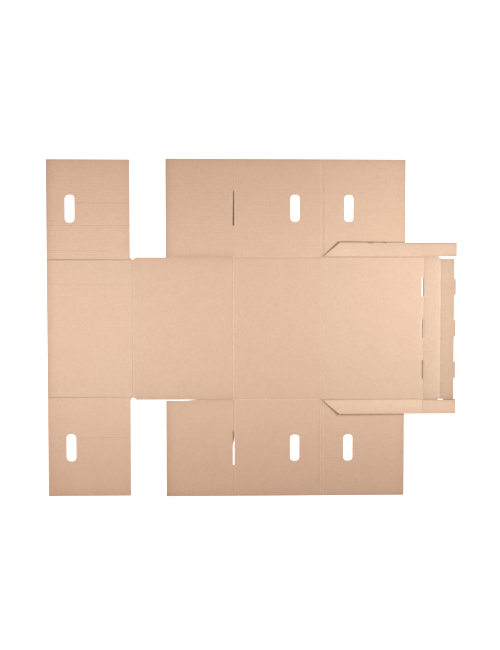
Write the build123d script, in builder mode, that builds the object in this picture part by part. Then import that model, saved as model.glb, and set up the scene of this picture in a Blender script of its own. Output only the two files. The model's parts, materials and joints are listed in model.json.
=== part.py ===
"""Die-cut blank of an archive box with a hinged lid, lying flat before it is folded.

The blank is one sheet of single-wall corrugated board, cut and creased. Each panel between
two creases is a piece of its own, so that it can fold up about its crease. Lengths are in
millimetres. +X runs from the front wall's free edge to the lid's front rim, +Z is up, the
inside of the box faces up, and the origin is under the middle of the blank, on its underside.
Left and right are those of somebody who faces the front of the folded box, so left is +Y.
"""

import os
from math import hypot

from build123d import *

os.makedirs("parts", exist_ok=True)

# Board and creases
board = 3.0  # thickness of the corrugated board
crease_depth = 1.0  # how deep the crease rule presses the inside face
crease_reach = 2.8  # how far the pressed shoulder runs on each side of a crease
play = 0.5  # free space between two boards that lie face to face once folded
kerf = 0.8  # gap left by a cut between two panels
corner_radius = 2.0  # rounding of a free corner

# Folded box
body_width = 436.0  # between the creases of the two side walls
base_depth = 309.5  # from the front wall's crease to the back wall's
front_height = 262.5
back_height = 273.5

# Panels that hang on the walls
side_wall_length = 304.0
bottom_flap_length = 211.0
inner_wall_height = 254.0
side_roll_width = 9.5  # top of a double side wall, from its outer crease to its inner one
front_flap_length = 306.5
front_flap_inset = 5.5  # how far a front flap lies inside its side wall
front_flap_rise = 8.0  # how far a front flap stays above the base
front_flap_heel = 9.5  # length of the slanted end that clears the base
base_notch_run = 10.0  # length of the slanted corner of the base, beside the front wall

# Lid
lid_rim_height = 45.0
lid_rim_start = 3.0  # from the lid's crease to the foot of the mitre
mitre_run = 54.0  # length of the slanted end of a lid rim
lid_corner_length = 105.0
lid_corner_taper = 3.0  # a corner flap narrows by this on its inner edge
lock_shoulder_gap = 3.5  # from the lock flap's shoulders up to the lid, once folded
lock_side_gap = 4.5  # the lock flap ends this far inside the lid rims' creases
tab_bite = 1.5  # how far a lock tab stands in its slit
tab_width = 54.0
tab_angle = 60.0
tab_pitch = 129.0
tab_count = 3
slit_length = 58.0

# Hand holes and slots
wall_hole = (28.5, 82.0)
wall_hole_radius = 11.5
flap_hole = (30.0, 84.5)
flap_hole_radius = 13.0
hole_drop = 78.5  # from the top crease of a side wall to the middle of its hand hole
hole_setback = 156.0  # from the front wall's crease to the middle of the hand holes
slot_width = 6.5
slot_length = 106.0

# How far each bottom flap stands off the base at its free corner, and where that starts
left_splay = 0.0
right_splay = 7.5
splay_start = 121.0

# Sizes that follow from the board
hinge_height = board - crease_depth
nest = board + play
wall_clearance = crease_depth + play
lid_roll_width = 3 * board - 2 * hinge_height + 2 * play
lid_depth = base_depth + lid_roll_width + 2 * hinge_height + play
lid_front_height = lid_rim_height + wall_clearance
lock_height = lid_front_height - crease_depth - lock_shoulder_gap
tab_height = lock_shoulder_gap + tab_bite
slit_width = lid_roll_width + hinge_height + play

# Creases and ends along X
front_rim_reach = lid_front_height + lid_roll_width + lock_height + tab_height
corner_reach = lid_corner_length - nest
blank_length = front_height + base_depth + back_height + lid_depth + max(front_rim_reach, corner_reach)
front_edge_x = -blank_length / 2
front_x = front_edge_x + front_height
back_x = front_x + base_depth
wall_bottom_x = back_x + nest
lid_x = back_x + back_height
wall_top_x = lid_x - nest
inner_wall_x = wall_top_x + side_roll_width
lid_front_x = lid_x + lid_depth
lid_corner_x = lid_front_x - nest
lid_roll_x = lid_front_x + lid_front_height
lock_x = lid_roll_x + lid_roll_width

# Creases and ends along Y
side_y = body_width / 2
base_y = side_y + hinge_height
front_flap_y = side_y - front_flap_inset
lid_y = side_y + nest
lid_front_y = lid_y - play
lock_y = lid_y - lock_side_gap
wall_end_y = side_y + side_wall_length
rim_end_y = lid_y + lid_rim_height
inner_wall_y = rim_end_y + kerf

# The mitre between a lid rim and the inner wall beside it
mitre_kerf = kerf * hypot(mitre_run, lid_rim_height) / lid_rim_height
mitre_slope = mitre_run / lid_rim_height
mitre_foot_x = lid_x + lid_rim_start
inner_wall_heel = hinge_height
inner_wall_start_y = lid_y + (inner_wall_x + inner_wall_heel + mitre_kerf - mitre_foot_x) / mitre_slope
inner_mitre_end_x = mitre_foot_x + (inner_wall_y - lid_y) * mitre_slope - mitre_kerf

# Middles of the hand holes
wall_hole_x = wall_top_x - hole_drop
wall_hole_y = side_y + base_depth - hole_setback
inner_hole_x = inner_wall_x + hole_drop
flap_hole_x = front_x - (wall_hole_x - back_x)
flap_hole_y = front_flap_y + hole_setback

LEFT = 1
RIGHT = -1


def press_crease(x, y, into, length):
    """Press one shoulder of a crease into the piece being built.

    The crease line runs through (x, y), which is its middle, and into points from it into
    the panel. The shoulder is an arc that leaves the board's face without a step.
    """
    along = Vector(*into).cross(Vector(0, 0, 1))
    with BuildSketch(Plane(origin=(x, y, 0), x_dir=into, z_dir=along)) as shoulder:
        with BuildLine():
            TangentArc((crease_reach, board), (0, hinge_height), tangent=(-1, 0))
            Polyline(
                (0, hinge_height),
                (-kerf, hinge_height),
                (-kerf, board + kerf),
                (crease_reach, board + kerf),
                (crease_reach, board),
            )
        make_face()
    extrude(shoulder.sketch, amount=length / 2, both=True, mode=Mode.SUBTRACT)


def make_base():
    """The box's floor, with slanted corners beside the front wall."""
    with BuildPart() as base:
        with BuildSketch() as outline:
            with BuildLine():
                Polyline(
                    (front_x, -front_flap_y),
                    (front_x + base_notch_run, -base_y),
                    (back_x, -base_y),
                    (back_x, base_y),
                    (front_x + base_notch_run, base_y),
                    (front_x, front_flap_y),
                    close=True,
                )
            make_face()
        extrude(amount=board)
        press_crease(front_x, 0, (1, 0, 0), 2 * front_flap_y)
        press_crease(back_x, 0, (-1, 0, 0), 2 * base_y)
    return base.part


def make_front_wall():
    """The front wall, with a crease at each side for its flaps."""
    with BuildPart() as wall:
        middle_x = front_edge_x + front_height / 2
        with BuildSketch():
            with Locations((middle_x, 0)):
                Rectangle(front_height, 2 * front_flap_y)
        extrude(amount=board)
        press_crease(front_x, 0, (-1, 0, 0), 2 * front_flap_y)
        for side in (LEFT, RIGHT):
            press_crease(middle_x, side * front_flap_y, (0, -side, 0), front_height)
    return wall.part


def make_front_flap(side):
    """A flap of the front wall, which stands between the two boards of a side wall."""
    with BuildPart() as flap:
        end_y = front_flap_y + front_flap_length
        with BuildSketch() as outline:
            with BuildLine():
                Polyline(
                    (front_edge_x, side * front_flap_y),
                    (front_x - wall_clearance, side * front_flap_y),
                    (front_x - front_flap_rise, side * (front_flap_y + front_flap_heel)),
                    (front_x - front_flap_rise, side * end_y),
                    (front_edge_x, side * end_y),
                    close=True,
                )
            make_face()
            fillet(outline.vertices().sort_by_distance((flap_hole_x, side * end_y))[:2], corner_radius)
            with Locations((flap_hole_x, side * flap_hole_y)):
                RectangleRounded(*flap_hole, flap_hole_radius, mode=Mode.SUBTRACT)
        extrude(amount=board)
        crease_length = front_height - wall_clearance
        press_crease(front_edge_x + crease_length / 2, side * front_flap_y, (0, side, 0), crease_length)
    return flap.part


def make_back_wall():
    """The back wall, which carries both side walls and the lid."""
    with BuildPart() as wall:
        middle_x = (back_x + lid_x) / 2
        with BuildSketch():
            with Locations((middle_x, 0)):
                Rectangle(back_height, body_width)
        extrude(amount=board)
        press_crease(back_x, 0, (1, 0, 0), body_width)
        press_crease(lid_x, 0, (-1, 0, 0), body_width)
        for side in (LEFT, RIGHT):
            press_crease(middle_x, side * side_y, (0, -side, 0), back_height)
    return wall.part


def make_side_wall(side):
    """The outer board of a side wall, with its hand hole."""
    with BuildPart() as wall:
        middle_x = (wall_bottom_x + wall_top_x) / 2
        height = wall_top_x - wall_bottom_x
        middle_y = side * (side_y + side_wall_length / 2)
        with BuildSketch():
            with Locations((middle_x, middle_y)):
                Rectangle(height, side_wall_length)
            with Locations((wall_hole_x, side * wall_hole_y)):
                RectangleRounded(*wall_hole, wall_hole_radius, mode=Mode.SUBTRACT)
        extrude(amount=board)
        press_crease(middle_x, side * side_y, (0, side, 0), height)
        press_crease(wall_bottom_x, middle_y, (1, 0, 0), side_wall_length)
        press_crease(wall_top_x, middle_y, (-1, 0, 0), side_wall_length)
    return wall.part


def make_bottom_flap(side, splay):
    """A side wall's bottom flap, cut free from the base, with a slot along its crease."""
    with BuildPart() as flap:
        end_x = wall_bottom_x - bottom_flap_length
        start_y = base_y + kerf
        with BuildSketch() as outline:
            with BuildLine():
                Polyline(
                    (wall_bottom_x, side * start_y),
                    (wall_bottom_x - splay_start, side * start_y),
                    (end_x, side * (start_y + splay)),
                    (end_x, side * wall_end_y),
                    (wall_bottom_x, side * wall_end_y),
                    close=True,
                )
            make_face()
            fillet(outline.vertices().sort_by_distance((end_x, side * wall_end_y))[0], corner_radius)
            with Locations((wall_bottom_x, side * wall_hole_y)):
                Rectangle(slot_width, slot_length, align=(Align.MAX, Align.CENTER), mode=Mode.SUBTRACT)
        extrude(amount=board)
        crease_length = wall_end_y - start_y
        press_crease(wall_bottom_x, side * (start_y + crease_length / 2), (-1, 0, 0), crease_length)
    return flap.part


def make_side_roll(side):
    """The narrow top of a double side wall, between its two creases."""
    with BuildPart() as roll:
        with BuildSketch():
            with BuildLine():
                Polyline(
                    (wall_top_x, side * (side_y + wall_clearance)),
                    (inner_wall_x, side * inner_wall_start_y),
                    (inner_wall_x, side * wall_end_y),
                    (wall_top_x, side * wall_end_y),
                    close=True,
                )
            make_face()
        extrude(amount=board)
        middle_y = side * (side_y + side_wall_length / 2)
        press_crease(wall_top_x, middle_y, (1, 0, 0), side_wall_length)
        press_crease(inner_wall_x, middle_y, (-1, 0, 0), side_wall_length)
    return roll.part


def make_inner_wall(side):
    """The inner board of a side wall, mitred and stepped round the lid's rim."""
    with BuildPart() as wall:
        end_x = inner_wall_x + inner_wall_height
        with BuildSketch() as outline:
            with BuildLine():
                Polyline(
                    (inner_wall_x, side * inner_wall_start_y),
                    (inner_wall_x + inner_wall_heel, side * inner_wall_start_y),
                    (inner_mitre_end_x, side * inner_wall_y),
                    (end_x, side * inner_wall_y),
                    (end_x, side * wall_end_y),
                    (inner_wall_x, side * wall_end_y),
                    close=True,
                )
            make_face()
            fillet(outline.vertices().group_by(Axis.X)[-1], corner_radius)
            with Locations((inner_hole_x, side * wall_hole_y)):
                RectangleRounded(*wall_hole, wall_hole_radius, mode=Mode.SUBTRACT)
        extrude(amount=board)
        crease_length = wall_end_y - inner_wall_start_y
        middle_y = side * (inner_wall_start_y + crease_length / 2)
        press_crease(inner_wall_x, middle_y, (1, 0, 0), crease_length)
    return wall.part


def make_lid():
    """The lid's top, with slits for the lock tabs along its front crease."""
    with BuildPart() as lid:
        with BuildSketch():
            with Locations((lid_x + lid_depth / 2, 0)):
                Rectangle(lid_depth, 2 * lid_y)
            with Locations((lid_front_x - slit_width / 2, 0)):
                with GridLocations(0, tab_pitch, 1, tab_count):
                    Rectangle(slit_width, slit_length, mode=Mode.SUBTRACT)
        extrude(amount=board)
        press_crease(lid_x, 0, (1, 0, 0), 2 * lid_y)
        press_crease(lid_front_x, 0, (-1, 0, 0), 2 * lid_y)
        rim_length = lid_corner_x - mitre_foot_x
        for side in (LEFT, RIGHT):
            press_crease(mitre_foot_x + rim_length / 2, side * lid_y, (0, -side, 0), rim_length)
    return lid.part


def make_lid_rim(side):
    """A side rim of the lid, mitred at the back."""
    with BuildPart() as rim:
        with BuildSketch():
            with BuildLine():
                Polyline(
                    (mitre_foot_x, side * lid_y),
                    (mitre_foot_x + mitre_run, side * rim_end_y),
                    (lid_corner_x, side * rim_end_y),
                    (lid_corner_x, side * lid_y),
                    close=True,
                )
            make_face()
        extrude(amount=board)
        rim_length = lid_corner_x - mitre_foot_x
        press_crease(mitre_foot_x + rim_length / 2, side * lid_y, (0, side, 0), rim_length)
        press_crease(lid_corner_x, side * (lid_y + lid_rim_height / 2), (-1, 0, 0), lid_rim_height)
    return rim.part


def make_lid_corner(side):
    """A corner flap, which turns in behind the lid's front rim."""
    with BuildPart() as flap:
        end_x = lid_corner_x + lid_corner_length
        start_y = lid_y + wall_clearance
        with BuildSketch() as outline:
            with BuildLine():
                Polyline(
                    (lid_corner_x, side * start_y),
                    (end_x, side * (start_y + lid_corner_taper)),
                    (end_x, side * rim_end_y),
                    (lid_corner_x, side * rim_end_y),
                    close=True,
                )
            make_face()
            fillet(outline.vertices().group_by(Axis.X)[-1], corner_radius)
        extrude(amount=board)
        middle_y = side * (lid_y + lid_rim_height / 2)
        press_crease(lid_corner_x, middle_y, (1, 0, 0), lid_rim_height)
    return flap.part


def make_lid_front():
    """The outer board of the lid's front rim."""
    with BuildPart() as rim:
        with BuildSketch():
            with Locations((lid_front_x + lid_front_height / 2, 0)):
                Rectangle(lid_front_height, 2 * lid_front_y)
        extrude(amount=board)
        press_crease(lid_front_x, 0, (1, 0, 0), 2 * lid_front_y)
        press_crease(lid_roll_x, 0, (-1, 0, 0), 2 * lid_front_y)
    return rim.part


def make_lid_roll():
    """The narrow bottom of the lid's front rim, between its two creases."""
    with BuildPart() as roll:
        with BuildSketch():
            with Locations((lid_roll_x + lid_roll_width / 2, 0)):
                Rectangle(lid_roll_width, 2 * lock_y)
        extrude(amount=board)
        press_crease(lid_roll_x, 0, (1, 0, 0), 2 * lock_y)
        press_crease(lock_x, 0, (-1, 0, 0), 2 * lock_y)
    return roll.part


def make_lid_lock():
    """The inner board of the front rim, with the tabs that lock into the lid's slits."""
    with BuildPart() as lock:
        shoulder_x = lock_x + lock_height
        with BuildSketch() as outline:
            with Locations((lock_x + lock_height / 2, 0)):
                Rectangle(lock_height, 2 * lock_y)
            with Locations((shoulder_x + tab_height / 2, 0)):
                with GridLocations(0, tab_pitch, 1, tab_count):
                    Trapezoid(tab_width, tab_height, tab_angle, rotation=-90)
            fillet(outline.vertices().group_by(Axis.X)[-1], corner_radius)
        extrude(amount=board)
        press_crease(lock_x, 0, (1, 0, 0), 2 * lock_y)
    return lock.part


panels = {
    "base": make_base(),
    "front_wall": make_front_wall(),
    "front_flap_left": make_front_flap(LEFT),
    "front_flap_right": make_front_flap(RIGHT),
    "back_wall": make_back_wall(),
    "side_wall_left": make_side_wall(LEFT),
    "side_wall_right": make_side_wall(RIGHT),
    "bottom_flap_left": make_bottom_flap(LEFT, left_splay),
    "bottom_flap_right": make_bottom_flap(RIGHT, right_splay),
    "side_roll_left": make_side_roll(LEFT),
    "side_roll_right": make_side_roll(RIGHT),
    "inner_wall_left": make_inner_wall(LEFT),
    "inner_wall_right": make_inner_wall(RIGHT),
    "lid": make_lid(),
    "lid_rim_left": make_lid_rim(LEFT),
    "lid_rim_right": make_lid_rim(RIGHT),
    "lid_corner_left": make_lid_corner(LEFT),
    "lid_corner_right": make_lid_corner(RIGHT),
    "lid_front": make_lid_front(),
    "lid_roll": make_lid_roll(),
    "lid_lock": make_lid_lock(),
}

for name, panel in panels.items():
    panel.label = name
    export_step(panel, f"parts/{name}.step")
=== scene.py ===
"""Looks of a die-cut archive box blank in brown corrugated board, lying flat, inside face up.

Every panel is dressed as real single-wall board: two kraft liners with the washboard that the
flutes leave on them, open flutes where a cut crosses them, and a fluted channel where a cut runs
along them. Each crease is a strip of its own from one panel to the next.
Sizes are in millimetres and are turned to metres where a mesh is made.
"""

import json
import logging
from dataclasses import dataclass, field
from enum import Enum
from math import cos, exp, pi, radians
from typing import Any, Callable, Iterable, Sequence

import bmesh
import bpy
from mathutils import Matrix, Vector

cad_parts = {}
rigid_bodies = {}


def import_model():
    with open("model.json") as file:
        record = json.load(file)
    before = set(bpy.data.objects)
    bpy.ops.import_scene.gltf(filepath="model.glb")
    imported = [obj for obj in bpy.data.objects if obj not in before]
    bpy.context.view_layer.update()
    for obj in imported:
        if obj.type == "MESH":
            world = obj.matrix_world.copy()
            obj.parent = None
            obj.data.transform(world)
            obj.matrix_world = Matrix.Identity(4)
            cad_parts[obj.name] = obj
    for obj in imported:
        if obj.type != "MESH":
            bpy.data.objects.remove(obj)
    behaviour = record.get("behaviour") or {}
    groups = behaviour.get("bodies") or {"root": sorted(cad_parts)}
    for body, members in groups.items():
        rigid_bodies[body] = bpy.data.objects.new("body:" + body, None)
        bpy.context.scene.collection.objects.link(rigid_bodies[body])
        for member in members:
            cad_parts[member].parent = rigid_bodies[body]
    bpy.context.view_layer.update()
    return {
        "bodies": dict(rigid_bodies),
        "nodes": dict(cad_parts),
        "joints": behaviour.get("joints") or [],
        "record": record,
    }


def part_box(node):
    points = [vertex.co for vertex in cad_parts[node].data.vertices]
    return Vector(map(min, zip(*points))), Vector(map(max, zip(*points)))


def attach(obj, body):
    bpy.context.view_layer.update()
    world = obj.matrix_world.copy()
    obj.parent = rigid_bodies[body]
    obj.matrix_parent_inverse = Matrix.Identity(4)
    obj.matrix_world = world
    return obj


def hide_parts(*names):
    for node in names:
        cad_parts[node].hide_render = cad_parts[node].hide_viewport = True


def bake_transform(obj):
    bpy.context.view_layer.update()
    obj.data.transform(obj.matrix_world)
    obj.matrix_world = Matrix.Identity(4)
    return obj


log = logging.getLogger("archive_box")

MM = 0.001
NEAR = 1e-5
FLAT = radians(0.5)
SHARP = radians(25)

Corners = tuple[tuple[float, float], ...]
Field = Callable[[float, float], float]


class Run(Enum):
    """The way a crease line runs across the blank."""

    ALONG_X = 0
    ALONG_Y = 1


class Skin(Enum):
    """The surfaces of a piece of board, in the order of its material slots."""

    INSIDE = 0
    OUTSIDE = 1
    CUT = 2
    FLUTE = 3


def linear(code: str) -> tuple[float, float, float, float]:
    """Turn an sRGB hex colour into linear RGBA.

    Args:
        code: Six hex digits.

    Returns:
        Red, green, blue and alpha, with alpha 1.
    """
    levels = [int(code[i:i + 2], 16) / 255 for i in (0, 2, 4)]
    red, green, blue = (v / 12.92 if v <= 0.04045 else ((v + 0.055) / 1.055) ** 2.4 for v in levels)
    return red, green, blue, 1.0


def node(tree: bpy.types.NodeTree, kind: str, links: dict[Any, Any] | None = None, **settings: Any) -> Any:
    """Add a node with its settings and its links.

    Args:
        tree: The node tree that gets the node.
        kind: The node's Blender type.
        links: Input name or index to a value, or to the output socket that feeds it.
        settings: Properties of the node itself.

    Returns:
        The new node.
    """
    made = tree.nodes.new(kind)
    for name, value in settings.items():
        setattr(made, name, value)
    for name, value in (links or {}).items():
        if isinstance(value, bpy.types.NodeSocket):
            tree.links.new(value, made.inputs[name])
        else:
            made.inputs[name].default_value = value
    return made


@dataclass(frozen=True)
class Board:
    """Single-wall B-flute board, with its flutes along X. Lengths are in millimetres.

    washboard is how far the liners sink between flute tips, stripe how strongly painted stripes of light and
    shade follow the flutes on the liners, gap how far the medium stays clear of the liners, crushing how
    much thinner than whole board a cut edge may be and still show its flutes, and steps how many slices make
    one flute.
    """

    thickness: float = 3.0
    crease_reach: float = 2.8
    flute_pitch: float = 6.8
    liner: float = 0.4
    medium: float = 0.35
    washboard: float = 0.2
    stripe: float = 0.016
    flute_depth: float = 1.6
    gap: float = 0.04
    crushing: float = 1.2
    steps: int = 6

    def phase(self, y: float) -> float:
        """Angle of the flute at a place across the blank, from y in millimetres."""
        return 2 * pi * y / self.flute_pitch

    def sink(self, y: float, top: bool) -> float:
        """How far a liner sinks between two flute tips, in millimetres."""
        wave = cos(self.phase(y))
        return self.washboard * (1 - wave if top else 1 + wave) / 2

    def levels(self, y: float, low: float, high: float) -> list[float]:
        """Work out the heights of the medium and of the liners' inner faces where a cut crosses them.

        Args:
            y: Place across the blank, in millimetres.
            low: Height of the outer liner's face, in millimetres.
            high: Height of the inner liner's face, in millimetres.

        Returns:
            Heights of the bottom liner, the medium's underside, its top side and the top liner.
        """
        bottom, top = low + self.liner, high - self.liner
        swing = (top - bottom - self.medium) / 2 - self.gap
        middle = (bottom + top) / 2 + swing * cos(self.phase(y))
        return [bottom, middle - self.medium / 2, middle + self.medium / 2, top]


@dataclass(frozen=True)
class PaintedShadow:
    """A strip of painted shadow on the liner along one side of a straight cut, in millimetres.

    The strip lies on the left of the way from start to stop, and its width runs from one end's to the
    other's.
    """

    start: tuple[float, float]
    stop: tuple[float, float]
    widths: tuple[float, float]
    amount: float

    def add(self, tree: bpy.types.NodeTree, place: bpy.types.NodeSocket) -> bpy.types.NodeSocket:
        """Add the strip to a liner's node tree.

        Args:
            tree: The node tree.
            place: The socket that gives Object coordinates.

        Returns:
            The socket that gives the liner's tone.
        """
        way = Vector(self.stop) - Vector(self.start)
        along = Vector((way.x, way.y, 0)) / way.length_squared / MM
        left = Vector((-way.y, way.x, 0)) / way.length / MM
        origin = Vector((self.start[0], self.start[1], 0)) * MM
        reached = []
        for axis in (along, left):
            spot = node(tree, "ShaderNodeVectorMath", {0: place, 1: axis}, operation="DOT_PRODUCT")
            far = {0: spot.outputs["Value"], 1: axis.dot(origin)}
            reached.append(node(tree, "ShaderNodeMath", far, operation="SUBTRACT").outputs[0])
        first, last = self.widths
        widening = {0: reached[0], 1: last - first, 2: first}
        width = node(tree, "ShaderNodeMath", widening, operation="MULTIPLY_ADD").outputs[0]
        share = node(tree, "ShaderNodeMath", {0: reached[1], 1: width}, operation="DIVIDE").outputs[0]
        fade = {0: share, 3: 1 - self.amount, 4: 1.0}
        tone = node(tree, "ShaderNodeMapRange", fade, interpolation_type="SMOOTHSTEP").outputs[0]
        inside = node(tree, "ShaderNodeMath", {0: reached[1], 1: 0.0}, operation="GREATER_THAN").outputs[0]
        for limit, side in ((0.0, "GREATER_THAN"), (1.0, "LESS_THAN")):
            within = node(tree, "ShaderNodeMath", {0: reached[0], 1: limit}, operation=side).outputs[0]
            inside = node(tree, "ShaderNodeMath", {0: inside, 1: within}, operation="MULTIPLY").outputs[0]
        return node(tree, "ShaderNodeMapRange", {0: inside, 3: 1.0, 4: tone}, clamp=False).outputs[0]


# Painted shadow of the lid rims, which lay raised off the board: strips beside both mitres and along the
# rims' outer edges, the last two wider at two torn nicks in the left rim's edge.
PAINTED_SHADOWS = (
    PaintedShadow((215.5, 222.0), (269.0, 266.8), (2.5, 10.0), 0.80),
    PaintedShadow((269.0, -266.8), (216.5, -223.0), (13.0, 4.0), 0.60),
    PaintedShadow((269.0, 267.2), (472.0, 267.2), (7.0, 2.5), 0.50),
    PaintedShadow((472.0, -267.2), (269.0, -267.2), (6.0, 9.0), 0.40),
    PaintedShadow((633.5, 266.6), (472.0, 266.6), (5.0, 5.0), 0.45),
    PaintedShadow((372.0, 266.6), (352.0, 266.6), (7.0, 1.0), 0.45),
    PaintedShadow((414.0, 266.6), (398.0, 266.6), (6.0, 1.0), 0.45),
)


@dataclass(frozen=True)
class Kraft:
    """Kraft liner: long brown fibres, calendered but unglazed, so it looks matt and a little mottled.

    fibre, grain and cloud say how strongly each pattern shows, redden how fast red, green and blue
    fall off where the liner is darker, and warm how far its warmth lowers each of them.
    """

    name: str
    colour: str
    roughness: float = 0.86
    ior: float = 1.45
    specular: float = 0.3
    relief: float = 0.3
    relief_depth: float = 0.05
    fibre: float = 0.10
    grain: float = 0.16
    cloud: float = 0.05
    redden: tuple[float, ...] = (1.0, 1.3, 1.45)
    warm: tuple[float, ...] = (0.0, 0.8, 1.0)
    painted_shadows: tuple[PaintedShadow, ...] = ()

    def build(self) -> bpy.types.Material:
        """Make the liner's material.

        Returns:
            The material.
        """
        material = bpy.data.materials.new(self.name)
        material.use_nodes = True
        tree = material.node_tree
        shader = tree.nodes["Principled BSDF"]
        place = node(tree, "ShaderNodeTexCoord").outputs["Object"]
        # Fibres lie across the flutes, so the fine pattern is drawn out along Y
        drawn = node(tree, "ShaderNodeMapping", {0: place, "Scale": (1 / MM, 0.5 / MM, 1 / MM)}).outputs[0]
        fibres = node(tree, "ShaderNodeTexNoise", {0: drawn, "Scale": 0.5, "Detail": 3.0}).outputs[0]
        # Grains of 6 mm are coarser than real formation marks, because finer ones don't show
        grains = node(tree, "ShaderNodeTexNoise", {0: place, "Scale": 0.17 / MM, "Detail": 2.0}).outputs[0]
        clouds = node(tree, "ShaderNodeTexNoise", {0: place, "Scale": 20.0, "Detail": 3.0}).outputs[0]
        shade = node(tree, "ShaderNodeAttribute", attribute_name="shade").outputs["Fac"]
        for source, amount in ((fibres, self.fibre), (grains, self.grain), (clouds, self.cloud)):
            offset = node(tree, "ShaderNodeMath", {0: source, 1: 0.5}, operation="SUBTRACT").outputs[0]
            swing = {0: offset, 1: amount, 2: 1.0}
            factor = node(tree, "ShaderNodeMath", swing, operation="MULTIPLY_ADD").outputs[0]
            shade = node(tree, "ShaderNodeMath", {0: shade, 1: factor}, operation="MULTIPLY").outputs[0]
        # Strips of painted shadow where the raised lid rims shade the board beside them
        for painted_shadow in self.painted_shadows:
            tone = painted_shadow.add(tree, place)
            shade = node(tree, "ShaderNodeMath", {0: shade, 1: tone}, operation="MULTIPLY").outputs[0]
        # Where the tone is darker, mostly from painted shade, green and blue fall off faster than red, so
        # the liner turns redder
        warmth = node(tree, "ShaderNodeAttribute", attribute_name="warmth").outputs["Fac"]
        parts = []
        for power, share in zip(self.redden, self.warm):
            deep = node(tree, "ShaderNodeMath", {0: shade, 1: power}, operation="POWER").outputs[0]
            lower = {0: warmth, 1: -share, 2: 1.0}
            kept = node(tree, "ShaderNodeMath", lower, operation="MULTIPLY_ADD").outputs[0]
            parts.append(node(tree, "ShaderNodeMath", {0: deep, 1: kept}, operation="MULTIPLY").outputs[0])
        toned = node(tree, "ShaderNodeCombineXYZ", dict(enumerate(parts))).outputs[0]
        plain = linear(self.colour)[:3]
        colour = node(tree, "ShaderNodeVectorMath", {0: plain, 1: toned}, operation="MULTIPLY")
        tree.links.new(colour.outputs[0], shader.inputs["Base Color"])
        shader.inputs["Roughness"].default_value = self.roughness
        shader.inputs["IOR"].default_value = self.ior
        shader.inputs["Specular IOR Level"].default_value = self.specular
        height = {"Strength": self.relief, "Distance": self.relief_depth * MM, "Height": fibres}
        bump = node(tree, "ShaderNodeBump", height)
        tree.links.new(bump.outputs[0], shader.inputs["Normal"])
        return material


@dataclass(frozen=True)
class RawEdge:
    """Cut board: torn fibres that scatter and shade each other, so it looks browner than the liner."""

    name: str
    colour: str
    grain: float = 0.5
    roughness: float = 0.95
    specular: float = 0.15

    def build(self) -> bpy.types.Material:
        """Make the edge's material.

        Returns:
            The material.
        """
        material = bpy.data.materials.new(self.name)
        material.use_nodes = True
        tree = material.node_tree
        shader = tree.nodes["Principled BSDF"]
        place = node(tree, "ShaderNodeTexCoord").outputs["Object"]
        torn = node(tree, "ShaderNodeTexNoise", {0: place, "Scale": 1.2 / MM, "Detail": 3.0}).outputs[0]
        offset = node(tree, "ShaderNodeMath", {0: torn, 1: 0.5}, operation="SUBTRACT").outputs[0]
        level = node(tree, "ShaderNodeMath", {0: offset, 1: self.grain, 2: 1.0}, operation="MULTIPLY_ADD")
        scaled = {0: linear(self.colour)[:3], "Scale": level.outputs[0]}
        colour = node(tree, "ShaderNodeVectorMath", scaled, operation="SCALE")
        tree.links.new(colour.outputs[0], shader.inputs["Base Color"])
        shader.inputs["Roughness"].default_value = self.roughness
        shader.inputs["Specular IOR Level"].default_value = self.specular
        return material


@dataclass(frozen=True)
class Finishes:
    """The four surfaces of the board."""

    inside: Kraft = Kraft("kraft_liner_inside", "E5C1A7", painted_shadows=PAINTED_SHADOWS)
    outside: Kraft = Kraft("kraft_liner_outside", "DDB899", cloud=0.08)
    cut: RawEdge = RawEdge("cut_liner_edge", "C09672")
    flute: RawEdge = RawEdge("fluting_medium", "8A6346")

    def build(self) -> list[bpy.types.Material]:
        """Make the materials in the order of Skin."""
        return [self.inside.build(), self.outside.build(), self.cut.build(), self.flute.build()]


@dataclass(frozen=True)
class Trait:
    """How one panel differs from plain board.

    Tones along X give how light the liner is painted at places along X, in millimetres, as painted light and
    shade for a panel that lay tilted or bowed; ribs give how deep the washboard is and how strongly its
    painted stripes show; the edge factor gives how strongly painted shade darkens its free edges; and warmth
    gives how much redder it is than plain liner, over the sheet's middle and at its ends along Y.
    """

    painted_light: tuple[tuple[float, float], ...] = ((0.0, 1.0),)
    ribs: float = 1.0
    edge_shade: float = 1.0
    warmth: tuple[float, float] = (0.0, 0.0)
    middle_reach: float = 220.0
    arm_length: float = 300.0

    def tone(self, x: float) -> float:
        """Find how light the liner is at a place.

        Args:
            x: The place along X, in millimetres.

        Returns:
            The tone, where 1 is plain liner.
        """
        before = self.painted_light[0]
        for grade in self.painted_light:
            if x <= grade[0]:
                span = grade[0] - before[0]
                share = (x - before[0]) / span if span else 1.0
                return before[1] + (grade[1] - before[1]) * max(share, 0.0)
            before = grade
        return before[1]

    def tint(self, y: float) -> float:
        """Find how much redder than plain liner the panel is at a place along Y, in millimetres."""
        near, far = self.warmth
        return near + (far - near) * min(max((abs(y) - self.middle_reach) / self.arm_length, 0.0), 1.0)


@dataclass(frozen=True)
class CreaseShade:
    """How much painted shade darkens the liner on a crease's line, and how much painted highlight lightens
    it beside the line, as the groove's sides turn from or towards the light.

    Offsets are in millimetres towards +X or +Y.
    """

    dark: float = 0.05
    bright: float = 0.0
    dark_at: float = 0.0
    bright_at: float = 0.0
    width: float = 1.6

    def tone(self, offset: float) -> float:
        """Find how light the liner is beside the line.

        Args:
            offset: Distance from the line towards +X or +Y, in millimetres.

        Returns:
            The tone, where 1 is unmarked liner.
        """
        dark = max(0.0, 1 - abs(offset - self.dark_at) / self.width)
        bright = max(0.0, 1 - abs(offset - self.bright_at) / self.width)
        return 1 - self.dark * dark + self.bright * bright


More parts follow.
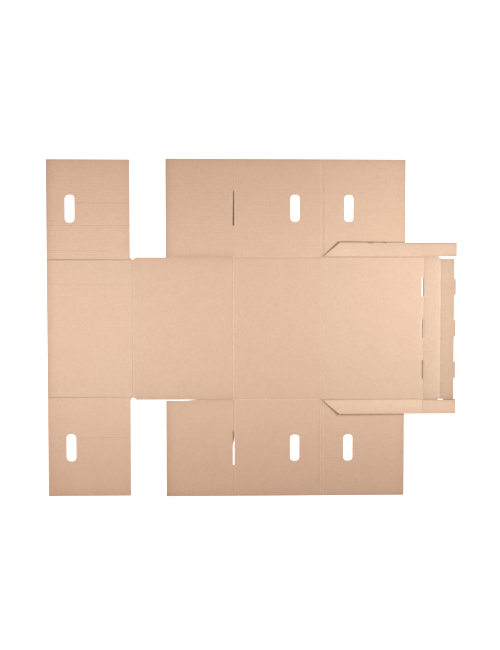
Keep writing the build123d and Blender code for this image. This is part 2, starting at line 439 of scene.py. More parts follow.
@dataclass(frozen=True)
class Crush:
    """A line along the flutes where the board was pressed, with painted shade in its groove, in millimetres.

    dark is how much painted shade darkens the liner for each millimetre of depth.
    """

    panel: str
    y: float
    start: float
    stop: float
    depth: float = 0.35
    width: float = 1.7
    dark: float = 0.3

    def press(self, x: float, y: float) -> float:
        """Find how deep the line is at a place on its panel."""
        if not self.start - 0.01 <= x <= self.stop + 0.01:
            return 0.0
        return self.depth * max(0.0, 1 - abs(y - self.y) / self.width)


@dataclass(frozen=True)
class EdgeShade:
    """How much painted shade darkens the liner at a free edge, which bends down away from the light, and how
    far that reaches.
    """

    front: float = 0.18
    back: float = 0.07
    left: float = 0.08
    right: float = 0.10
    reach: float = 13.0
    slices: tuple[float, ...] = (3.0, 8.0, 16.0, 30.0)

    def tone(self, distance: float, amount: float) -> float:
        """Find how light the liner is at a distance from an edge, in millimetres."""
        return 1 - amount * exp(-max(distance, 0.0) / self.reach)


@dataclass(frozen=True)
class CutFill:
    """A sliver of board set into a cut. A low one, topped with bare fluting medium, is a dark sheet of
    painted shadow where the cut shows shade; a taller one is topped with liner and hides the floor.

    corners are places on the blank and top is the sliver's height, in millimetres.
    """

    name: str
    panel: str
    corners: Corners
    top: float = 0.4


def oblong(x_low: float, x_high: float, y_low: float, y_high: float) -> Corners:
    """Give the corners of a sliver with straight, square sides, in millimetres."""
    return (x_low, y_low), (x_high, y_low), (x_high, y_high), (x_low, y_high)


def pair(name: str, panel: str, corners: Corners, top: float = 0.4) -> tuple[CutFill, CutFill]:
    """Make a sliver on the left and its mirror image on the right.

    Args:
        name: The slivers' name, without a hand.
        panel: The panel's name, with a star for the hand.
        corners: The left sliver's corners, in millimetres.
        top: The slivers' height, in millimetres.

    Returns:
        The left sliver and the right one.
    """
    mirrored = tuple((x, -y) for x, y in corners)
    left = CutFill(f"{name}_left", panel.replace("*", "left"), corners, top)
    return left, CutFill(f"{name}_right", panel.replace("*", "right"), mirrored, top)


@dataclass(frozen=True)
class Rect:
    """An upright rectangle in the plane of the blank, in metres."""

    low: tuple[float, float]
    high: tuple[float, float]

    def is_real(self) -> bool:
        """Say whether the rectangle has any area."""
        return all(h - l > NEAR for l, h in zip(self.low, self.high))


@dataclass
class Crease:
    """A pressed line between two panels."""

    name: str
    parent: str
    child: str
    run: Run
    line: float
    sign: int
    ends: tuple[float, float] = (0.0, 0.0)

    @property
    def across(self) -> int:
        """Index of the axis that crosses the line."""
        return 1 - self.run.value

    def touches(self, panel: str) -> bool:
        """Say whether the line is an edge of that panel."""
        return panel in (self.parent, self.child)

    def side_of(self, panel: str) -> int:
        """Say on which side of the line the panel lies: 1 above it, -1 below it."""
        return self.sign if panel == self.child else -self.sign


# Painted light and shade per panel: the tones along X stand in for the light on a panel that lay tilted or
# bowed, lighter on the raised lid rims and darker on the lid's lock flap.
TRAITS = {
    "base": Trait(((0.0, 1.01),), 0.2),
    "back_wall": Trait(((0.0, 1.01),), 0.3, warmth=(0.01, 0.01)),
    "front_wall": Trait(((-633.0, 1.01), (-371.0, 1.03)), 0.95, warmth=(-0.02, -0.02)),
    "front_flap_left": Trait(((-633.0, 1.01), (-381.0, 1.045)), 2.1, warmth=(0.0, 0.045)),
    "front_flap_right": Trait(((-633.0, 0.99), (-560.0, 1.03), (-381.0, 1.06)), 0.65, 0.3, (0.01, 0.075)),
    "bottom_flap_left": Trait(((0.0, 1.02),), 1.4, warmth=(0.01, 0.05)),
    "bottom_flap_right": Trait(((0.0, 1.04),), 0.9, warmth=(0.025, 0.08)),
    "side_wall_left": Trait(((0.0, 1.02),), 1.35, warmth=(0.01, 0.045)),
    "side_wall_right": Trait(((0.0, 1.04),), 0.8, warmth=(0.025, 0.085)),
    "side_roll_left": Trait(((0.0, 1.02),), 1.35, warmth=(0.01, 0.03)),
    "side_roll_right": Trait(((0.0, 1.04),), 0.8, warmth=(0.025, 0.08)),
    "inner_wall_left": Trait(((0.0, 1.03),), 1.35, warmth=(0.0, 0.02)),
    "inner_wall_right": Trait(((0.0, 1.04),), 1.1, warmth=(0.02, 0.08)),
    "lid": Trait(((500.0, 1.01), (515.0, 1.02), (528.0, 1.03)), 0.35, warmth=(-0.03, -0.03)),
    "lid_rim_left": Trait(
        ((280.0, 1.09), (340.0, 1.055), (430.0, 1.02), (500.0, 1.0)), 1.2, warmth=(-0.04, -0.04)
    ),
    "lid_rim_right": Trait(((0.0, 1.17),), 1.2),
    "lid_corner_left": Trait(warmth=(-0.035, -0.035)),
    "lid_corner_right": Trait(((0.0, 1.12),), 1.2, warmth=(-0.01, -0.01)),
    "lid_front": Trait(
        ((534.0, 0.935), (550.0, 0.96), (565.0, 0.97), (576.0, 1.01)), 0.6, warmth=(-0.07, -0.07)
    ),
    "lid_roll": Trait(((0.0, 1.04),), 0.6, warmth=(-0.07, -0.07)),
    "lid_lock": Trait(((586.0, 0.85), (600.0, 0.88), (631.5, 0.86)), 0.6, warmth=(-0.07, -0.07)),
}

# Painted shade on each crease's line and painted highlight beside it, for the light and shade on the sides
# of its groove.
CREASE_SHADES = {
    "front_wall_crease": CreaseShade(0.06, 0.05, -1.2, 1.8),
    "back_wall_crease": CreaseShade(0.02, 0.19, -1.6, 1.1),
    "side_wall_left_crease": CreaseShade(0.13),
    "side_wall_right_crease": CreaseShade(0.08, 0.12, 1.2, -1.4),
    "bottom_flap_left_crease": CreaseShade(0.0, 0.09, 0.0, 0.5),
    "bottom_flap_right_crease": CreaseShade(0.12, 0.14, -1.2, 1.5),
    "front_flap_left_crease": CreaseShade(0.22, 0.0, 0.0, 0.0, 2.8),
    "front_flap_right_crease": CreaseShade(0.14, 0.0, 0.3, 0.0, 2.8),
    "side_roll_left_crease": CreaseShade(0.0, 0.17, 0.0, 0.5),
    "side_roll_right_crease": CreaseShade(0.04, 0.09, -1.0, 1.5),
    "inner_wall_left_crease": CreaseShade(0.08, 0.04, 1.2, -1.2),
    "inner_wall_right_crease": CreaseShade(0.0, 0.12, 0.0, 1.0),
    "lid_crease": CreaseShade(0.03, 0.15, 1.6, -0.8),
    "lid_rim_left_crease": CreaseShade(0.20, 0.0, 0.4, 0.0, 2.8),
    "lid_rim_right_crease": CreaseShade(0.18, 0.0, 0.6, 0.0, 2.8),
    "lid_corner_left_crease": CreaseShade(0.04),
    "lid_corner_right_crease": CreaseShade(0.12),
    "lid_front_crease": CreaseShade(0.10, 0.02, 0.8, -1.6),
    "lid_roll_crease": CreaseShade(0.0, 0.06, 0.0, 1.0),
    "lid_lock_crease": CreaseShade(0.11, 0.03, 1.4, -1.2),
}

CRUSHES = (
    Crush("front_flap_left", 386.5, -545.0, -381.0, 0.5),
    Crush("front_flap_left", 333.0, -633.0, -577.0),
    Crush("front_flap_left", 317.5, -633.0, -381.0, 0.4),
    Crush("front_flap_left", 240.0, -633.0, -440.0, 0.3),
    Crush("front_wall", 138.0, -633.0, -372.0, 0.25),
    Crush("front_flap_right", -338.0, -633.0, -381.0, 0.35),
    Crush("inner_wall_right", -404.0, 219.0, 275.0, 0.35),
)

# Slivers set into cuts. The 0.4 mm ones, topped with bare fluting medium, are painted shadow: dark sheets
# for the shaded floor seen through narrow cuts, slots and slits. The taller ones are board that fills a gap
# and is topped with liner.
CUT_FILLS = (
    CutFill("base_cut_lip_left", "base", oblong(-268.5, -61.5, 220.0, 220.7), 2.6),
    CutFill("base_cut_lip_right", "base", oblong(-178.0, -61.5, -220.7, -220.0), 2.3),
    CutFill("splay_fill_right", "bottom_flap_right",
        ((-268.8, -228.3), (-216.0, -223.9), (-218.0, -223.4), (-268.8, -223.6)), 2.8),
    *pair("wall_fill", "side_wall_*", oblong(-60.4, -58.1, 218.2, 220.6), 1.8),
    *pair("foot_fill", "side_roll_*",
          ((208.7, 219.1), (211.9, 219.1), (211.9, 221.6), (213.9, 221.6), (214.8, 222.3),
           (214.8, 224.4), (217.2, 224.4), (219.6, 226.4), (218.1, 226.6), (208.7, 219.5)), 1.1),
    *pair("heel_fill", "back_wall", oblong(208.7, 211.9, 218.1, 218.9), 1.1),
    *pair("mitre_lip", "lid_rim_*", ((215.0, 221.5), (269.0, 266.5), (267.9, 266.5), (213.9, 221.5))),
    *pair("rim_edge_lip", "lid_rim_*", oblong(267.9, 472.0, 266.5, 267.2)),
    *pair("step_fill", "lid", oblong(528.8, 531.9, 221.6, 222.9), 1.4),
    *pair("front_lip", "lid_front", ((532.2, 221.1), (577.5, 221.1), (577.5, 224.2), (532.2, 222.9)), 1.8),
    *pair("roll_lip", "lid_roll", oblong(578.5, 584.5, 217.0, 220.2), 1.8),
    *pair("corner_fill", "lid_corner_*",
          ((578.0, 224.4), (633.3, 225.9), (633.3, 223.1), (578.0, 223.1)), 2.8),
    CutFill("corner_lip_right", "lid_corner_right", oblong(593.6, 633.4, -223.0, -221.0)),
    CutFill("corner_edge_right", "lid_corner_right", oblong(578.0, 593.5, -223.1, -222.7), 1.8),
    CutFill("lock_fill_right", "lid_lock", oblong(585.0, 626.4, -219.4, -217.0), 2.8),
    CutFill("lock_lip_right", "lid_lock", oblong(585.0, 626.4, -220.4, -219.4), 1.2),
    CutFill("slot_lip_left", "bottom_flap_left", oblong(-64.5, -58.1, 318.5, 424.5)),
    CutFill("slot_wedge_left", "bottom_flap_left",
        ((-64.5, 318.6), (-62.9, 318.6), (-60.9, 424.4), (-64.5, 424.4)), 2.8),
    CutFill("slot_edge_right", "bottom_flap_right",
        ((-64.5, -424.4), (-62.5, -424.4), (-62.7, -318.6), (-64.5, -318.6)), 2.8),
    CutFill("slot_lip_right", "bottom_flap_right",
        ((-62.7, -366.0), (-58.1, -340.0), (-58.1, -318.5), (-62.7, -318.5))),
    CutFill("slot_fill_right", "bottom_flap_right",
        ((-60.2, -351.0), (-58.1, -340.0), (-58.1, -318.6), (-60.2, -318.6)), 1.4),
    CutFill("slit_edge_left", "lid", oblong(523.6, 525.0, 100.2, 157.8), 1.3),
    CutFill("slit_lip_left", "lid", oblong(527.9, 531.9, 100.2, 157.8)),
    CutFill("slit_fill_left", "lid", oblong(530.1, 531.9, 100.2, 157.8), 1.4),
    CutFill("slit_lip_middle", "lid", oblong(525.4, 531.9, -28.8, 28.8)),
    CutFill("slit_fill_middle", "lid", oblong(528.2, 531.9, -28.8, 28.8), 1.4),
    CutFill("slit_lip_right", "lid", oblong(523.6, 531.9, -157.8, -100.2)),
    CutFill("slit_edge_right", "lid", oblong(523.6, 527.4, -157.8, -100.2), 1.4),
    CutFill("slit_fill_right", "lid", oblong(529.7, 531.9, -157.8, -100.2), 1.4),
)


def copy_node(shape: bpy.types.Object) -> bmesh.types.BMesh:
    """Copy a panel's solid, with its loose triangles merged into whole faces.

    Args:
        shape: The panel's object in the frame.

    Returns:
        The copy, whose faces carry the slot of the surface that they belong to.
    """
    mesh = bmesh.new()
    mesh.from_mesh(shape.data)
    bmesh.ops.remove_doubles(mesh, verts=mesh.verts, dist=NEAR / 5)
    bmesh.ops.dissolve_limit(mesh, angle_limit=FLAT, verts=mesh.verts, edges=mesh.edges)
    for face in mesh.faces:
        face.material_index = skin_of(face.normal).value
    return mesh


def skin_of(normal: Vector) -> Skin:
    """Tell which surface of the board faces that way.

    Args:
        normal: The way that a face looks.

    Returns:
        The surface.
    """
    if normal.z > 0.5:
        return Skin.INSIDE
    if normal.z < -0.5:
        return Skin.OUTSIDE
    return Skin.CUT


def slice_at(mesh: bmesh.types.BMesh, axis: int, place: float, keep: int = 0) -> None:
    """Cut a mesh at a plane across X or Y.

    Args:
        mesh: The mesh to cut.
        axis: 0 for a plane across X, 1 for one across Y.
        place: The plane's coordinate, in metres.
        keep: 1 keeps what is above the plane, -1 what is below it, and 0 keeps both.
    """
    normal = Vector((0, 0, 0))
    normal[axis] = 1.0
    point = normal * place
    parts = mesh.verts[:] + mesh.edges[:] + mesh.faces[:]
    cut = bmesh.ops.bisect_plane(
        mesh, geom=parts, dist=NEAR / 10, plane_co=point, plane_no=normal,
        clear_inner=keep > 0, clear_outer=keep < 0,
    )
    if keep:
        edges = [e for e in cut["geom_cut"] if isinstance(e, bmesh.types.BMEdge) and e.is_boundary]
        if edges:
            caps = bmesh.ops.edgeloop_fill(mesh, edges=edges)["faces"]
            for cap in caps:
                cap.material_index = Skin.FLUTE.value


def crop(mesh: bmesh.types.BMesh, rect: Rect) -> bmesh.types.BMesh:
    """Copy what lies inside a rectangle of the blank, closed at its cuts.

    Args:
        mesh: The panel's mesh.
        rect: The rectangle.

    Returns:
        The cropped copy.
    """
    piece = mesh.copy()
    for axis in (0, 1):
        places = [v.co[axis] for v in piece.verts]
        if not places:
            break
        if rect.low[axis] > min(places) + NEAR:
            slice_at(piece, axis, rect.low[axis], 1)
        if rect.high[axis] < max(places) - NEAR:
            slice_at(piece, axis, rect.high[axis], -1)
    bmesh.ops.recalc_face_normals(piece, faces=piece.faces)
    return piece


def gather(pieces: Iterable[bmesh.types.BMesh]) -> bmesh.types.BMesh:
    """Put several meshes together in one, without joining them.

    Args:
        pieces: The meshes, which are freed.

    Returns:
        The mesh that holds them all.
    """
    whole = bmesh.new()
    for piece in pieces:
        step = bpy.data.meshes.new("step")
        piece.to_mesh(step)
        piece.free()
        whole.from_mesh(step)
        bpy.data.meshes.remove(step)
    return whole


@dataclass
class Blank:
    """The whole blank: its panels, its creases and the way board is dressed."""

    frame: dict[str, Any]
    board: Board = field(default_factory=Board)
    edge_shade: EdgeShade = field(default_factory=EdgeShade)
    creases: list[Crease] = field(default_factory=list)
    solids: dict[str, bmesh.types.BMesh] = field(default_factory=dict)
    bounds: dict[str, Rect] = field(default_factory=dict)
    materials: list[bpy.types.Material] = field(default_factory=list)

    def __post_init__(self) -> None:
        """Read the panels and creases from the frame."""
        self.materials = Finishes().build()
        for name, shape in self.frame["nodes"].items():
            low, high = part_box(name)
            self.bounds[name] = Rect((low.x, low.y), (high.x, high.y))
            self.solids[name] = copy_node(shape)
        for joint in self.frame["joints"]:
            self.creases.append(self.read_crease(joint))
        for crease in self.creases:
            crease.ends = self.crease_ends(crease)

    @property
    def reach(self) -> float:
        """How far a crease strip runs on each side of its line, in metres."""
        return self.board.crease_reach * MM

    def read_crease(self, joint: dict[str, Any]) -> Crease:
        """Read a crease from the joint that folds there.

        Args:
            joint: The joint, as the frame gives it.

        Returns:
            The crease, without its ends.
        """
        run = Run.ALONG_Y if abs(joint["axis"][1]) > 0.5 else Run.ALONG_X
        across = 1 - run.value
        line = joint["pos_m"][across]
        rect = self.bounds[joint["child"]]
        middle = (rect.low[across] + rect.high[across]) / 2
        sign = 1 if middle > line else -1
        name = joint["name"].replace("_fold", "_crease")
        return Crease(name, joint["parent"], joint["child"], run, line, sign)

    def margins(self, panel: str) -> tuple[list[float], list[float]]:
        """Measure how much of each side of a panel is taken by a crease strip.

        Args:
            panel: The panel's name.

        Returns:
            The widths at its low sides, and at its high sides, along X and Y.
        """
        low, high = [0.0, 0.0], [0.0, 0.0]
        for crease in self.creases:
            if crease.touches(panel):
                (low if crease.side_of(panel) > 0 else high)[crease.across] = self.reach
        return low, high

    def crease_ends(self, crease: Crease) -> tuple[float, float]:
        """Find the stretch of a crease that bends, clear of the corners of both panels.

        Args:
            crease: The crease.

        Returns:
            Where the stretch starts and ends, in metres.
        """
        along = crease.run.value
        starts, stops = [], []
        for panel in (crease.parent, crease.child):
            low, high = self.margins(panel)
            starts.append(self.bounds[panel].low[along] + low[along])
            stops.append(self.bounds[panel].high[along] - high[along])
        return max(starts), min(stops)

    def stiff_parts(self, panel: str) -> list[Rect]:
        """Split off the parts of a panel that don't bend.

        Args:
            panel: The panel's name.

        Returns:
            The panel's core, and what is left beside the ends of its creases.
        """
        rect = self.bounds[panel]
        low, high = self.margins(panel)
        core = Rect(
            (rect.low[0] + low[0], rect.low[1] + low[1]),
            (rect.high[0] - high[0], rect.high[1] - high[1]),
        )
        parts = [core]
        for crease in self.creases:
            if not crease.touches(panel):
                continue
            band = sorted((crease.line, crease.line + crease.side_of(panel) * self.reach))
            along = crease.run.value
            outer = rect if crease.run is Run.ALONG_Y else core
            for start, stop in ((outer.low[along], crease.ends[0]), (crease.ends[1], outer.high[along])):
                if crease.run is Run.ALONG_Y:
                    parts.append(Rect((band[0], start), (band[1], stop)))
                else:
                    parts.append(Rect((start, band[0]), (stop, band[1])))
        return [part for part in parts if part.is_real()]

    def trait(self, panel: str) -> Trait:
        """Find how a panel differs from plain board."""
        return TRAITS.get(panel, Trait())

    def tone(self, panel: str, x: float, y: float) -> float:
        """Find how light a panel's liner is at a place, painted light and shade included.

        Args:
            panel: The panel's name.
            x: Place along X, in millimetres.
            y: Place along Y, in millimetres.

        Returns:
            The tone, where 1 is plain liner.
        """
        rect = self.bounds[panel]
        low, high = self.margins(panel)
        trait = self.trait(panel)
        # Painted light and shade: the panel's tones along X for its tilt, stripes along the flutes, shade at
        # its free edges and in its crushed lines
        tone = trait.tone(x) * (1 + self.board.stripe * trait.ribs * cos(self.board.phase(y)))
        if not low[0]:
            tone *= self.edge_shade.tone(x - rect.low[0] / MM, self.edge_shade.front * trait.edge_shade)
        if not high[0]:
            tone *= self.edge_shade.tone(rect.high[0] / MM - x, self.edge_shade.back * trait.edge_shade)
        if not low[1]:
            tone *= self.edge_shade.tone(y - rect.low[1] / MM, self.edge_shade.right)
        if not high[1]:
            tone *= self.edge_shade.tone(rect.high[1] / MM - y, self.edge_shade.left)
        for crush in CRUSHES:
            if crush.panel == panel:
                tone *= 1 - crush.dark * crush.press(x, y)
        return tone

    def slice_flutes(self, mesh: bmesh.types.BMesh) -> None:
        """Cut a mesh into the narrow steps that make a flute's curve.

        Args:
            mesh: The mesh to cut.
        """
        step = self.board.flute_pitch * MM / self.board.steps
        places = [v.co.y for v in mesh.verts]
        first, last = int(min(places) / step) - 1, int(max(places) / step) + 1
        for index in range(first, last + 1):
            if min(places) + NEAR < index * step < max(places) - NEAR:
                slice_at(mesh, 1, index * step)

    def slice_grades(self, mesh: bmesh.types.BMesh, panel: str) -> None:
        """Cut a panel where its tone or a crushed line starts or stops along X.

        Args:
            mesh: The panel's mesh.
            panel: The panel's name.
        """
        rect = self.bounds[panel]
        low, high = self.margins(panel)
        places = [grade[0] * MM for grade in self.trait(panel).painted_light]
        for crush in CRUSHES:
            if crush.panel == panel:
                places += [(crush.start - 2) * MM, crush.start * MM, crush.stop * MM, (crush.stop + 2) * MM]
        if not low[0]:
            places += [rect.low[0] + s * MM for s in self.edge_shade.slices]
        if not high[0]:
            places += [rect.high[0] - s * MM for s in self.edge_shade.slices]
        for place in places:
            if rect.low[0] + low[0] + NEAR < place < rect.high[0] - high[0] - NEAR:
                slice_at(mesh, 0, place)

    def press(
        self, mesh: bmesh.types.BMesh, ribs: Callable[[Vector], float], crushes: Sequence[Crush] = ()
    ) -> None:
        """Sink the liners between the flute tips, and press crushed lines into the inside face.

        Args:
            mesh: The mesh to press.
            ribs: How strongly the flutes show at a place.
            crushes: The crushed lines on the mesh.
        """
        top = self.board.thickness * MM
        for vert in mesh.verts:
            x, y = vert.co.x / MM, vert.co.y / MM
            if vert.co.z > top - 10 * NEAR:
                deep = max((crush.press(x, y) for crush in crushes), default=0.0)
                vert.co.z -= (self.board.sink(y, True) * min(ribs(vert.co), 1.3) + deep) * MM
            elif vert.co.z < NEAR:
                vert.co.z += self.board.sink(y, False) * min(ribs(vert.co), 1.0) * MM

    def open_flutes(self, mesh: bmesh.types.BMesh) -> None:
        """Hollow the cut edges between the liners and the wave of the medium.

        Args:
            mesh: The mesh whose cut faces are hollowed.
        """
        least = (self.board.thickness - self.board.crushing) * MM
        rank = mesh.verts.layers.int.new("rank")
        upright: dict[bmesh.types.BMEdge, tuple[float, float]] = {}
        for face in mesh.faces:
            if face.material_index != Skin.CUT.value or len(face.verts) != 4:
                continue
            sides = [e for e in face.edges if abs(e.verts[0].co.z - e.verts[1].co.z) > least]
            if len(sides) == 2:
                for side in sides:
                    upright[side] = tuple(sorted(v.co.z / MM for v in side.verts))
        spans = {self.spot(edge.verts[0].co): span for edge, span in upright.items()}
        cut = bmesh.ops.subdivide_edges(mesh, edges=list(upright), cuts=4)
        fresh = {v for v in cut["geom_inner"] if isinstance(v, bmesh.types.BMVert)}
        for vert in fresh:
            low, high = spans[self.spot(vert.co)]
            vert[rank] = round(5 * (vert.co.z / MM - low) / (high - low))
        for vert in fresh:
            low, high = spans[self.spot(vert.co)]
            vert.co.z = self.board.levels(vert.co.y / MM, low, high)[vert[rank] - 1] * MM
        hollows = []
        for face in mesh.faces:
            ranks = {v[rank] for v in face.verts}
            if len(face.verts) == 4 and ranks in ({1, 2}, {3, 4}):
                hollows.append(face)
            elif ranks == {2, 3}:
                face.material_index = Skin.FLUTE.value
        ways: dict[tuple[int, int, int], Vector] = {}
        for face in hollows:
            for vert in face.verts:
                key = self.spot(vert.co) + (vert[rank],)
                ways[key] = ways.get(key, Vector((0, 0, 0))) + Vector((face.normal.x, face.normal.y, 0))
        dug = bmesh.ops.extrude_face_region(mesh, geom=hollows)["geom"]
        bmesh.ops.delete(mesh, geom=[f for f in hollows if f.is_valid], context="FACES_ONLY")
        for vert in [v for v in dug if isinstance(v, bmesh.types.BMVert)]:
            way = ways[self.spot(vert.co) + (vert[rank],)]
            vert.co -= way.normalized() * self.board.flute_depth * MM
            for face in vert.link_faces:
                face.material_index = Skin.FLUTE.value

    def spot(self, place: Vector) -> tuple[int, int]:
        """Name a place on the blank to the nearest hundredth of a millimetre."""
        return round(place.x / MM * 100), round(place.y / MM * 100)

    def finish_piece(self, mesh: bmesh.types.BMesh, name: str, tone: Field, tint: Field) -> bpy.types.Object:
        """Turn a mesh into a piece with its materials, its shading and its tones.

        Args:
            mesh: The finished mesh, which is freed.
            name: The piece's name.
            tone: How light the liner is at a place, in millimetres.
            tint: How much redder than plain liner it is there.

        Returns:
            The piece.
        """
        mesh.normal_update()
        for face in mesh.faces:
            face.smooth = True
        for edge in mesh.edges:
            edge.smooth = len(edge.link_faces) == 2 and edge.calc_face_angle(pi) < SHARP
        data = bpy.data.meshes.new(name)
        mesh.to_mesh(data)
        mesh.free()
        for material in self.materials:
            data.materials.append(material)
        for title, look in (("shade", tone), ("warmth", tint)):
            layer = data.attributes.new(title, "FLOAT", "POINT")
            layer.data.foreach_set("value", [look(v.co.x / MM, v.co.y / MM) for v in data.vertices])
        piece = bpy.data.objects.new(name, data)
        bpy.context.scene.collection.objects.link(piece)
        return piece

    def dress_panel(self, panel: str) -> bpy.types.Object:
        """Make a panel's board, without its crease strips.

        Args:
            panel: The panel's name.

        Returns:
            The piece, which stands for the panel's solid.
        """
        mesh = gather(crop(self.solids[panel], part) for part in self.stiff_parts(panel))
        self.slice_grades(mesh, panel)
        self.slice_flutes(mesh)
        trait = self.trait(panel)
        self.press(mesh, lambda place: trait.ribs, [crush for crush in CRUSHES if crush.panel == panel])
        self.open_flutes(mesh)
        piece = self.finish_piece(
            mesh, f"{panel}_board", lambda x, y: self.tone(panel, x, y), lambda x, y: trait.tint(y)
        )
        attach(piece, panel)
        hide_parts(panel)
        return piece

    def dress_crease(self, crease: Crease) -> bpy.types.Object:
        """Make the strip of board that runs from one panel to the next.

        Args:
            crease: The crease.

        Returns:
            The piece.
        """
        across, along = crease.across, crease.run.value
        halves = []
        for panel in (crease.parent, crease.child):
            side = crease.side_of(panel)
            band = sorted((crease.line, crease.line + side * self.reach))
            low, high = [0.0, 0.0], [0.0, 0.0]
            low[across], high[across] = band
            low[along], high[along] = crease.ends
            half = crop(self.solids[panel], Rect((low[0], low[1]), (high[0], high[1])))
            self.slice_flutes(half)
            for part in range(1, 4):
                slice_at(half, across, crease.line + side * self.reach * part / 4)
            halves.append(half)
        self.match_ends(halves, across, along, crease.line)
        mesh = gather(halves)
        bmesh.ops.remove_doubles(mesh, verts=mesh.verts, dist=NEAR / 2)
        inner = [f for f in mesh.faces if self.is_inner(f, across, crease.line)]
        bmesh.ops.delete(mesh, geom=inner, context="FACES_ONLY")
        traits = [self.trait(panel) for panel in (crease.parent, crease.child)]
        ribs = [trait.ribs for trait in traits]
        crease_shade = CREASE_SHADES.get(crease.name, CreaseShade())

        def share(place: float) -> float:
            """Say how far a place across the strip is from the parent to the child."""
            return min(max(((place - crease.line) * crease.sign / self.reach + 1) / 2, 0.0), 1.0)

        def tone(x: float, y: float) -> float:
            """Mix the panels' tones and add the crease's painted shade and highlight.

            Args:
                x: Place along X, in millimetres.
                y: Place along Y, in millimetres.

            Returns:
                The tone, where 1 is plain liner.
            """
            part = share((x, y)[across] * MM)
            first, second = self.tone(crease.parent, x, y), self.tone(crease.child, x, y)
            return (first + (second - first) * part) * crease_shade.tone((x, y)[across] - crease.line / MM)

        def tint(x: float, y: float) -> float:
            """Mix the panels' tints."""
            first, second = (trait.tint(y) for trait in traits)
            return first + (second - first) * share((x, y)[across] * MM)

        self.press(mesh, lambda place: ribs[0] + (ribs[1] - ribs[0]) * share(place[across]))
        piece = self.finish_piece(mesh, crease.name, tone, tint)
        start, end = Vector((0, 0, 0)), Vector((0, 0, 0))
        start[across] = crease.line - crease.sign * self.reach
        end[across] = crease.line + crease.sign * self.reach
        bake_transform(piece)
        return piece

    def match_ends(self, halves: list[bmesh.types.BMesh], across: int, along: int, line: float) -> None:
        """Cut both halves of a crease strip at the same places along the line."""
        places = sorted({
            round(v.co[along], 6) for half in halves for v in half.verts if abs(v.co[across] - line) < NEAR
        })
        for half in halves:
            own = {round(v.co[along], 6) for v in half.verts if abs(v.co[across] - line) < NEAR}
            for place in places:
                if place not in own:
                    slice_at(half, along, place)

    def is_inner(self, face: bmesh.types.BMFace, across: int, line: float) -> bool:
        """Say whether a face lies on the line, between the two halves of a strip."""
        if any(abs(v.co[across] - line) > NEAR for v in face.verts):
            return False
        return sum(len(e.link_faces) > 2 for e in face.edges) > 1

    def dress_cut_fill(self, cut_fill: CutFill) -> bpy.types.Object:
        """Make a sliver set into a cut.

        Args:
            cut_fill: The sliver.

        Returns:
            The piece.
        """
        mesh = bmesh.new()
        corners = [mesh.verts.new((x * MM, y * MM, 0.0)) for x, y in cut_fill.corners]
        foot = bmesh.ops.contextual_create(mesh, geom=corners)["faces"]
        raised = bmesh.ops.extrude_face_region(mesh, geom=foot, use_keep_orig=True)["geom"]
        lifted = [v for v in raised if isinstance(v, bmesh.types.BMVert)]
        bmesh.ops.translate(mesh, verts=lifted, vec=(0, 0, cut_fill.top * MM))
        bmesh.ops.recalc_face_normals(mesh, faces=mesh.faces)
        # A low sliver shows bare fluting medium on top, a dark sheet of painted shadow in a narrow cut; a
        # taller one shows liner on top
        for face in mesh.faces:
            face.material_index = (Skin.OUTSIDE if face.normal.z < -0.5 else Skin.FLUTE).value
            if face.normal.z > 0.5 and cut_fill.top > 1:
                face.material_index = Skin.INSIDE.value
        trait = self.trait(cut_fill.panel)
        piece = self.finish_piece(
            mesh, cut_fill.name, lambda x, y: self.tone(cut_fill.panel, x, y), lambda x, y: trait.tint(y)
        )
        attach(piece, cut_fill.panel)
        return piece

    def build(self) -> None:
        """Dress all panels, creases and slivers."""
        pieces = [self.dress_panel(panel) for panel in self.solids]
        pieces += [self.dress_crease(crease) for crease in self.creases]
        pieces += [self.dress_cut_fill(cut_fill) for cut_fill in CUT_FILLS]
        for piece in pieces:
            log.info("%s: %d faces", piece.name, len(piece.data.polygons))
        for solid in self.solids.values():
            solid.free()


@dataclass(frozen=True)
class Softbox:
    """A soft box: where it hangs, what it faces, how large it is, in metres, and its power in watts."""

    name: str
    place: tuple[float, float, float]
    target: tuple[float, float, float]
    size: tuple[float, float]
    power: float
    colour: str = "F9FCFF"

    def hang(self) -> None:
        """Make the light."""
        data = bpy.data.lights.new(self.name, "AREA")
        data.shape = "RECTANGLE"
        data.size, data.size_y = self.size
        data.energy = self.power
        data.color = linear(self.colour)[:3]
        light = bpy.data.objects.new(self.name, data)
        light.location = self.place
        way = Vector(self.target) - Vector(self.place)
        light.rotation_euler = way.to_track_quat("-Z", "Y").to_euler()
        light.visible_camera = False
        bpy.context.scene.collection.objects.link(light)


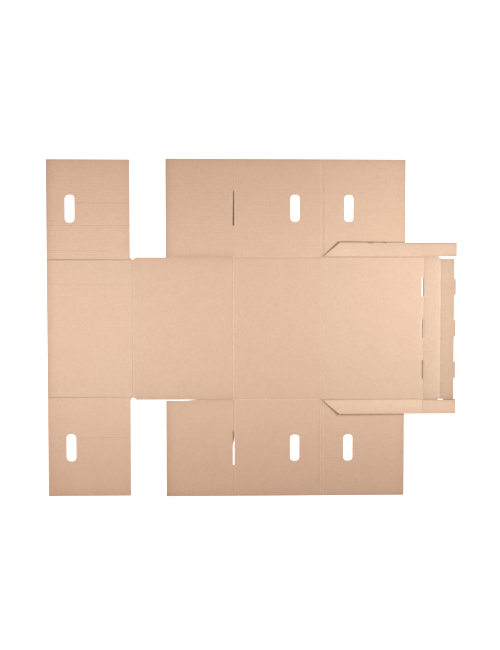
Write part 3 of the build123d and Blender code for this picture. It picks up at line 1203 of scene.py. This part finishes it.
@dataclass(frozen=True)
class Studio:
    """White floor, soft boxes and the camera that looks down on the blank from above."""

    camera_place: tuple[float, float, float] = (-0.0724, 0.1020, 2.5)
    camera_turn: tuple[float, float, float] = (-2.079, -1.448, -0.010)
    lens: float = 44.73
    sensor: float = 36.0
    floor_size: float = 12.0
    floor_drop: float = 0.0002
    floor_colour: str = "F4F4F4"
    sky: float = 0.29
    sky_colour: str = "FFF6E6"
    softboxes: tuple[Softbox, ...] = (
        Softbox("left_softbox", (-0.733, 0.008, 0.803), (-0.733, 0.008, 0.0), (1.4, 0.3), 5.15),
        Softbox("right_softbox", (1.02, 0.139, 0.808), (1.02, 0.139, 0.0), (1.4, 0.3), 8.7),
        Softbox("side_softbox", (-2.6, 0.3, 1.153), (0.0, 0.0, 0.0), (1.0, 1.0), 17.0),
    )

    def build(self) -> None:
        """Make the floor, the lights, the world and the camera."""
        self.make_floor()
        for softbox in self.softboxes:
            softbox.hang()
        self.make_world()
        self.make_camera()

    def make_floor(self) -> None:
        """Lay a pale floor that shows white and keeps a soft shadow."""
        mesh = bmesh.new()
        bmesh.ops.create_grid(mesh, x_segments=1, y_segments=1, size=self.floor_size / 2)
        bmesh.ops.translate(mesh, verts=mesh.verts, vec=(0, 0, -self.floor_drop))
        data = bpy.data.meshes.new("floor")
        mesh.to_mesh(data)
        mesh.free()
        floor = bpy.data.objects.new("floor", data)
        bpy.context.scene.collection.objects.link(floor)
        material = bpy.data.materials.new("white_floor")
        material.use_nodes = True
        tree = material.node_tree
        shader = tree.nodes["Principled BSDF"]
        shader.inputs["Base Color"].default_value = linear(self.floor_colour)
        shader.inputs["Roughness"].default_value = 0.9
        glow = node(tree, "ShaderNodeEmission", {"Color": (1, 1, 1, 1), "Strength": self.seen(tree)})
        both = node(tree, "ShaderNodeAddShader", {0: shader.outputs[0], 1: glow.outputs[0]})
        tree.links.new(both.outputs[0], tree.nodes["Material Output"].inputs[0])
        data.materials.append(material)

    def seen(self, tree: bpy.types.NodeTree) -> bpy.types.NodeSocket:
        """Tell the rays that look at the background from those that light the blank.

        Args:
            tree: The node tree.

        Returns:
            The socket that gives 1 for a ray that looks and 0 for one that lights.
        """
        path = node(tree, "ShaderNodeLightPath").outputs
        straight = {0: path["Is Camera Ray"], 1: path["Is Glossy Ray"]}
        mirrored = node(tree, "ShaderNodeMath", straight, operation="MAXIMUM").outputs[0]
        through = {0: mirrored, 1: path["Is Transmission Ray"]}
        return node(tree, "ShaderNodeMath", through, operation="MAXIMUM").outputs[0]

    def make_world(self) -> None:
        """Surround the scene with a pale sky that the camera sees as white."""
        world = bpy.data.worlds.new("studio")
        world.use_nodes = True
        tree = world.node_tree
        seen = self.seen(tree)
        level = node(tree, "ShaderNodeMapRange", {0: seen, 3: self.sky, 4: 1.0})
        tints = {0: seen, 6: linear(self.sky_colour), 7: (1, 1, 1, 1)}
        tint = node(tree, "ShaderNodeMix", tints, data_type="RGBA")
        tree.links.new(level.outputs[0], tree.nodes["Background"].inputs["Strength"])
        tree.links.new(tint.outputs[2], tree.nodes["Background"].inputs["Color"])
        bpy.context.scene.world = world

    def make_camera(self) -> None:
        """Set up the camera above the blank, with the photograph's framing."""
        data = bpy.data.cameras.new("camera")
        data.sensor_fit = "VERTICAL"
        data.sensor_height = self.sensor
        data.lens = self.lens
        data.clip_end = 50.0
        camera = bpy.data.objects.new("camera", data)
        camera.location = self.camera_place
        camera.rotation_euler = [radians(turn) for turn in self.camera_turn]
        bpy.context.scene.collection.objects.link(camera)
        bpy.context.scene.camera = camera


def main() -> None:
    """Build the blank and its studio."""
    logging.basicConfig(level=logging.INFO, format="%(message)s")
    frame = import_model()
    bpy.context.scene.view_settings.view_transform = "Standard"
    Blank(frame).build()
    Studio().build()


if __name__ == "__main__":
    main()
